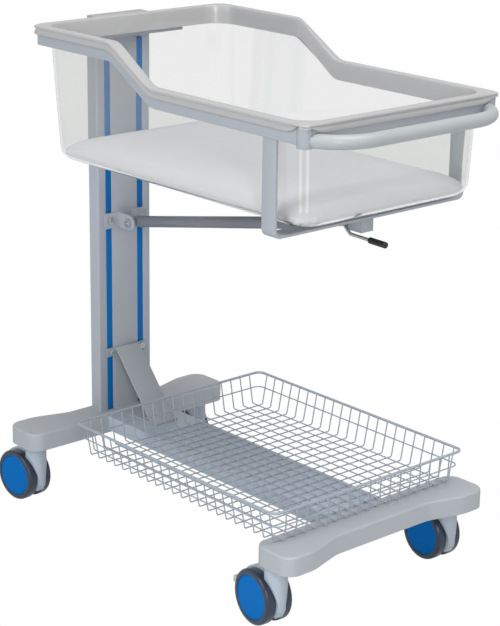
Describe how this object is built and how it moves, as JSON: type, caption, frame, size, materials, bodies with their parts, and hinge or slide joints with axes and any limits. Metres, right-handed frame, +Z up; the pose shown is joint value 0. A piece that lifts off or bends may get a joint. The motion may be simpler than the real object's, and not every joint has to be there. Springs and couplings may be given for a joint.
{
  "type": "hospital bassinet",
  "caption": "Newborn bassinet: clear tub with mattress in a tilting frame hinged on one column, over a wheeled base with a wire basket.",
  "frame": {"origin": "on the floor, in the middle of the footprint", "axes": "+X from the column (head end) to the push handle (foot end), +Y across to the far long side, +Z up"},
  "size_m": [0.9214, 0.484, 0.949],
  "materials": {
    "cast_paint": "light grey powder coat on cast aluminium, fine orange peel",
    "frame_paint": "light grey powder coat on steel",
    "column_anodised": "extruded aluminium, light grey matt coat",
    "cap_plastic": "light grey moulded cap",
    "blue_strip": "blue extruded filler strip",
    "screw_steel": "zinc-plated steel",
    "wire_paint": "light grey plastic coat on welded steel wire",
    "clear_tub": "clear polycarbonate, polished",
    "mattress_cover": "white coated mattress cover",
    "strut_paint": "grey enamel on the gas spring's tube",
    "rod_chrome": "hard-chromed rod",
    "lever_steel": "bent steel rod, zinc plated",
    "grip_plastic": "black moulded grip",
    "yoke_plastic": "light grey glass-filled nylon",
    "pedal_plastic": "light grey nylon",
    "tyre": "grey non-marking rubber tread",
    "blue_disc": "blue moulded wheel cover"
  },
  "bodies": {
    "base": {"head_beam": "cast_paint", "foot_beam": "cast_paint", "base_rail": "frame_paint", "frame_screws": "screw_steel", "column": "column_anodised", "column_cap": "cap_plastic", "slot_strips": "blue_strip", "gusset": "frame_paint", "slot_screws": "screw_steel", "strut_bracket_near": "frame_paint", "strut_bracket_far": "frame_paint", "strut_pin": "screw_steel", "column_hinge": "frame_paint", "hinge_pin": "screw_steel", "basket_rim": "wire_paint", "basket_wall_near": "wire_paint", "basket_wall_far": "wire_paint", "basket_wall_head": "wire_paint", "basket_wall_foot": "wire_paint", "basket_floor": "wire_paint", "castor_stems": "screw_steel"},
    "basin": {"hinge_plate": "frame_paint", "rim_frame": "frame_paint", "corner_posts": "frame_paint", "push_handle": "frame_paint", "cross_strap": "frame_paint", "release_block": "frame_paint", "tub": "clear_tub", "mattress": "mattress_cover"},
    "strut_tube": {"strut_cylinder": "strut_paint"},
    "strut_piston": {"strut_rod": "rod_chrome"},
    "lever": {"release_lever": "lever_steel", "lever_grip": "grip_plastic"},
    "castor_near_foot": {"yoke_near_foot": "yoke_plastic", "axle_near_foot": "screw_steel"},
    "wheel_near_foot_outer": {"tyre_near_foot_outer": "tyre", "disc_near_foot_outer": "blue_disc"},
    "wheel_near_foot_inner": {"tyre_near_foot_inner": "tyre", "disc_near_foot_inner": "blue_disc"},
    "brake_pedal_near_foot": {"brake_near_foot": "pedal_plastic"},
    "castor_far_foot": {"yoke_far_foot": "yoke_plastic", "axle_far_foot": "screw_steel"},
    "wheel_far_foot_outer": {"tyre_far_foot_outer": "tyre", "disc_far_foot_outer": "blue_disc"},
    "wheel_far_foot_inner": {"tyre_far_foot_inner": "tyre", "disc_far_foot_inner": "blue_disc"},
    "brake_pedal_far_foot": {"brake_far_foot": "pedal_plastic"},
    "castor_near_head": {"yoke_near_head": "yoke_plastic", "axle_near_head": "screw_steel"},
    "wheel_near_head_outer": {"tyre_near_head_outer": "tyre", "disc_near_head_outer": "blue_disc"},
    "wheel_near_head_inner": {"tyre_near_head_inner": "tyre", "disc_near_head_inner": "blue_disc"},
    "castor_far_head": {"yoke_far_head": "yoke_plastic", "axle_far_head": "screw_steel"},
    "wheel_far_head_outer": {"tyre_far_head_outer": "tyre", "disc_far_head_outer": "blue_disc"},
    "wheel_far_head_inner": {"tyre_far_head_inner": "tyre", "disc_far_head_inner": "blue_disc"}
  },
  "joints": [
    {"name": "basin_tilt", "type": "hinge", "parent": "base", "child": "basin", "pos_m": [-0.33432, 0, 0.92], "axis": [0, 1, 0], "range_deg": [-10, 10]},
    {"name": "strut_swing", "type": "hinge", "parent": "base", "child": "strut_tube", "pos_m": [-0.30832, 0, 0.548], "axis": [0, 1, 0], "range_deg": [-10, 10]},
    {"name": "strut_extend", "type": "slide", "parent": "strut_tube", "child": "strut_piston", "axis": [0.9803, 0, 0.1977], "range_m": [-0.07, 0.07]},
    {"name": "release_pull", "type": "hinge", "parent": "basin", "child": "lever", "pos_m": [0.28668, -0.015, 0.67], "axis": [0, -1, 0], "range_deg": [0, 15], "stiffness_Nm_per_rad": 1.2, "springref_deg": -14.32},
    {"name": "swivel_near_foot", "type": "hinge", "parent": "base", "child": "castor_near_foot", "pos_m": [0.33868, -0.209, 0.11], "axis": [0, 0, 1], "continuous": true},
    {"name": "roll_near_foot_outer", "type": "hinge", "parent": "castor_near_foot", "child": "wheel_near_foot_outer", "pos_m": [0.30287, -0.20524, 0.05], "axis": [0.1045, 0.9945, 0], "continuous": true},
    {"name": "roll_near_foot_inner", "type": "hinge", "parent": "castor_near_foot", "child": "wheel_near_foot_inner", "pos_m": [0.30287, -0.20524, 0.05], "axis": [0.1045, 0.9945, 0], "continuous": true},
    {"name": "press_near_foot", "type": "hinge", "parent": "castor_near_foot", "child": "brake_pedal_near_foot", "pos_m": [0.26707, -0.20147, 0.058], "axis": [-0.1045, -0.9945, 0], "range_deg": [0, 15]},
    {"name": "swivel_far_foot", "type": "hinge", "parent": "base", "child": "castor_far_foot", "pos_m": [0.33868, 0.209, 0.11], "axis": [0, 0, 1], "continuous": true},
    {"name": "roll_far_foot_outer", "type": "hinge", "parent": "castor_far_foot", "child": "wheel_far_foot_outer", "pos_m": [0.30276, 0.21151, 0.05], "axis": [0.0698, 0.9976, 0], "continuous": true},
    {"name": "roll_far_foot_inner", "type": "hinge", "parent": "castor_far_foot", "child": "wheel_far_foot_inner", "pos_m": [0.30276, 0.21151, 0.05], "axis": [0.0698, 0.9976, 0], "continuous": true},
    {"name": "press_far_foot", "type": "hinge", "parent": "castor_far_foot", "child": "brake_pedal_far_foot", "pos_m": [0.26685, 0.21402, 0.058], "axis": [-0.0698, -0.9976, 0], "range_deg": [0, 15]},
    {"name": "swivel_near_head", "type": "hinge", "parent": "base", "child": "castor_near_head", "pos_m": [-0.37132, -0.203, 0.11], "axis": [0, 0, 1], "continuous": true},
    {"name": "roll_near_head_outer", "type": "hinge", "parent": "castor_near_head", "child": "wheel_near_head_outer", "pos_m": [-0.40721, -0.20583, 0.05], "axis": [-0.0785, 0.9969, 0], "continuous": true},
    {"name": "roll_near_head_inner", "type": "hinge", "parent": "castor_near_head", "child": "wheel_near_head_inner", "pos_m": [-0.40721, -0.20583, 0.05], "axis": [-0.0785, 0.9969, 0], "continuous": true},
    {"name": "swivel_far_head", "type": "hinge", "parent": "base", "child": "castor_far_head", "pos_m": [-0.37132, 0.203, 0.11], "axis": [0, 0, 1], "continuous": true},
    {"name": "roll_far_head_outer", "type": "hinge", "parent": "castor_far_head", "child": "wheel_far_head_outer", "pos_m": [-0.40732, 0.203, 0.05], "axis": [0, 1, 0], "continuous": true},
    {"name": "roll_far_head_inner", "type": "hinge", "parent": "castor_far_head", "child": "wheel_far_head_inner", "pos_m": [-0.40732, 0.203, 0.05], "axis": [0, 1, 0], "continuous": true}
  ],
  "couplings": [
    {"joint": "strut_swing", "follows": "basin_tilt", "ratio": 0.9221},
    {"joint": "strut_extend", "follows": "basin_tilt", "m_per_rad": -0.3698}
  ]
}
